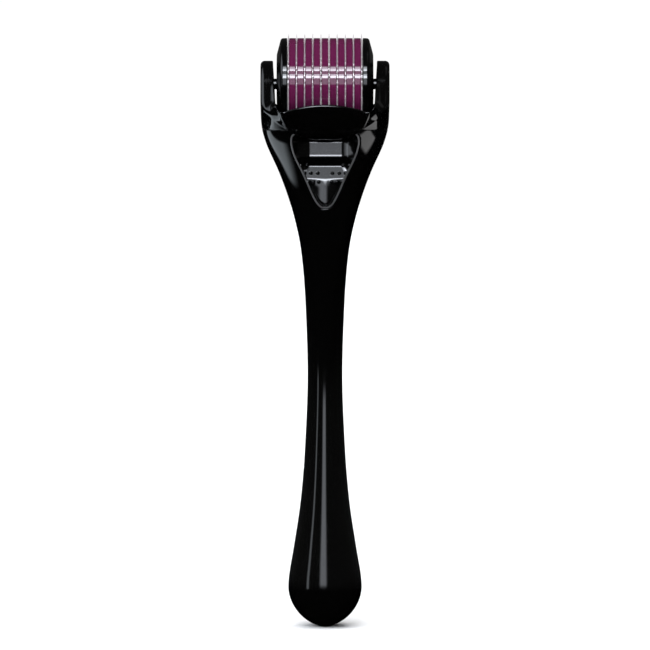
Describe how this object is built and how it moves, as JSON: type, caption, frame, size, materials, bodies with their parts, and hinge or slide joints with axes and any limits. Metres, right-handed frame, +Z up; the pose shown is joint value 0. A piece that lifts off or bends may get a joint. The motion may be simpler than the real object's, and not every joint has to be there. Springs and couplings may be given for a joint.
{
  "type": "derma roller",
  "caption": "Slim glossy handheld roller: needle discs and purple spacer rings spin between the arms of a forked head, over a curved guard and a shield-shaped thumb rest.",
  "frame": {"origin": "the handle's lower end, on the handle's axis, where the grip's mount is", "axes": "+Z up along the handle to the drum, -Y towards the guard and thumb rest, X along the drum's axle"},
  "size_m": [0.03, 0.0254, 0.1395],
  "materials": {
    "handle_plastic": "glossy black moulding",
    "drum_plastic": "glossy black moulding",
    "needles": "thin etched metal",
    "spacers": "satin purple moulding"
  },
  "bodies": {
    "handle": {"handle_front_shell": "handle_plastic", "handle_rear_shell": "handle_plastic", "yoke": "handle_plastic", "thumb_rest": "handle_plastic"},
    "drum": {"drum_core": "drum_plastic", "end_cap_left": "drum_plastic", "end_cap_right": "drum_plastic", "needle_disc_01": "needles", "needle_disc_02": "needles", "needle_disc_03": "needles", "needle_disc_04": "needles", "needle_disc_05": "needles", "needle_disc_06": "needles", "needle_disc_07": "needles", "needle_disc_08": "needles", "needle_disc_09": "needles", "needle_disc_10": "needles", "spacer_ring_1": "spacers", "spacer_ring_2": "spacers", "spacer_ring_3": "spacers", "spacer_ring_4": "spacers", "spacer_ring_5": "spacers", "spacer_ring_6": "spacers", "spacer_ring_7": "spacers", "spacer_ring_8": "spacers", "spacer_ring_9": "spacers"}
  },
  "joints": [
    {"name": "roller_spin", "type": "hinge", "parent": "handle", "child": "drum", "pos_m": [0, -0.005, 0.1278], "axis": [1, 0, 0], "continuous": true}
  ]
}
